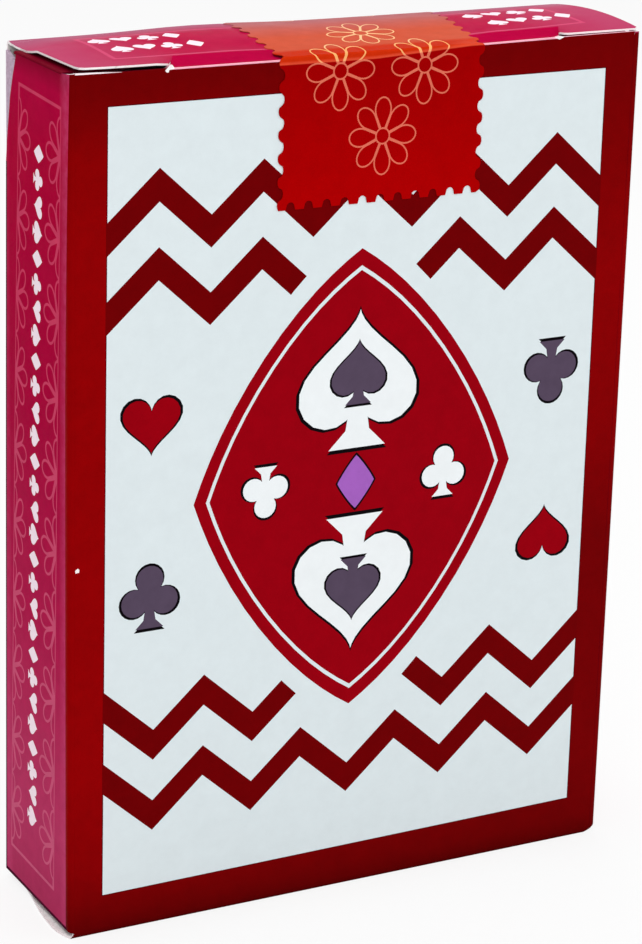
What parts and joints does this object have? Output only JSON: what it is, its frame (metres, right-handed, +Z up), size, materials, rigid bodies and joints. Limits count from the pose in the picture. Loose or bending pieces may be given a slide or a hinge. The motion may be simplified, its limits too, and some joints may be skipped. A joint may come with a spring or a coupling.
{
  "type": "playing card deck",
  "caption": "Upright tuck case of folded board with a printed front, paper seal, hinged lid with slit-lock tongue and dust flaps, holding a full pack of playing cards.",
  "frame": {"origin": "middle of the case's footprint, on the surface that it stands on", "axes": "+Z up the case, -Y out of the printed front panel, +X to the right as seen from the front"},
  "size_m": [0.065, 0.0176, 0.0921],
  "materials": {
    "printed_front": "coated print",
    "printed_side": "coated print",
    "printed_lid": "coated print",
    "bare_board": "uncoated",
    "seal_red": "satin",
    "seal_orange": "satin",
    "card_stock": "satin"
  },
  "bodies": {
    "case": {"front_panel": "printed_front", "back_panel": "printed_front", "left_side_panel": "printed_side", "right_side_panel": "printed_side", "glue_flap": "bare_board", "bottom_outer_flap": "printed_front", "bottom_inner_flap": "bare_board", "bottom_left_flap": "bare_board", "bottom_right_flap": "bare_board", "seal_front": "seal_red", "seal_back": "seal_red"},
    "lid": {"lid_panel": "printed_lid", "seal_top": "seal_orange", "seal_bend": "seal_orange"},
    "tongue": {"tuck_tongue": "printed_side"},
    "left_flap": {"left_dust_flap": "printed_side"},
    "right_flap": {"right_dust_flap": "printed_side"},
    "deck": {"red_joker": "card_stock", "black_joker": "card_stock", "ace_of_spades": "card_stock", "number_cards_of_spades": "card_stock", "jack_of_spades": "card_stock", "queen_of_spades": "card_stock", "king_of_spades": "card_stock", "ace_of_diamonds": "card_stock", "number_cards_of_diamonds": "card_stock", "jack_of_diamonds": "card_stock", "queen_of_diamonds": "card_stock", "king_of_diamonds": "card_stock", "ace_of_clubs": "card_stock", "number_cards_of_clubs": "card_stock", "jack_of_clubs": "card_stock", "queen_of_clubs": "card_stock", "king_of_clubs": "card_stock", "ace_of_hearts": "card_stock", "number_cards_of_hearts": "card_stock", "jack_of_hearts": "card_stock", "queen_of_hearts": "card_stock", "king_of_hearts": "card_stock"}
  },
  "joints": [
    {"name": "lid_hinge", "type": "hinge", "parent": "case", "child": "lid", "pos_m": [0, 0.0085, 0.0918], "axis": [-1, 0, 0], "range_deg": [0, 120]},
    {"name": "tongue_fold", "type": "hinge", "parent": "lid", "child": "tongue", "pos_m": [0, -0.00785, 0.0906], "axis": [-1, 0, 0], "range_deg": [-51.6, 0]},
    {"name": "left_flap_fold", "type": "hinge", "parent": "case", "child": "left_flap", "pos_m": [-0.0323, 0, 0.09135], "axis": [0, -1, 0], "range_deg": [0, 43.2]},
    {"name": "right_flap_fold", "type": "hinge", "parent": "case", "child": "right_flap", "pos_m": [0.0323, 0, 0.09135], "axis": [0, 1, 0], "range_deg": [0, 43.2]},
    {"name": "deck_lift", "type": "slide", "parent": "case", "child": "deck", "axis": [0, 0, 1], "range_m": [0, 0.0006]}
  ],
  "couplings": [
    {"joint": "tongue_fold", "follows": "lid_hinge", "ratio": -0.43},
    {"joint": "left_flap_fold", "follows": "lid_hinge", "ratio": 0.36},
    {"joint": "right_flap_fold", "follows": "lid_hinge", "ratio": 0.36}
  ]
}
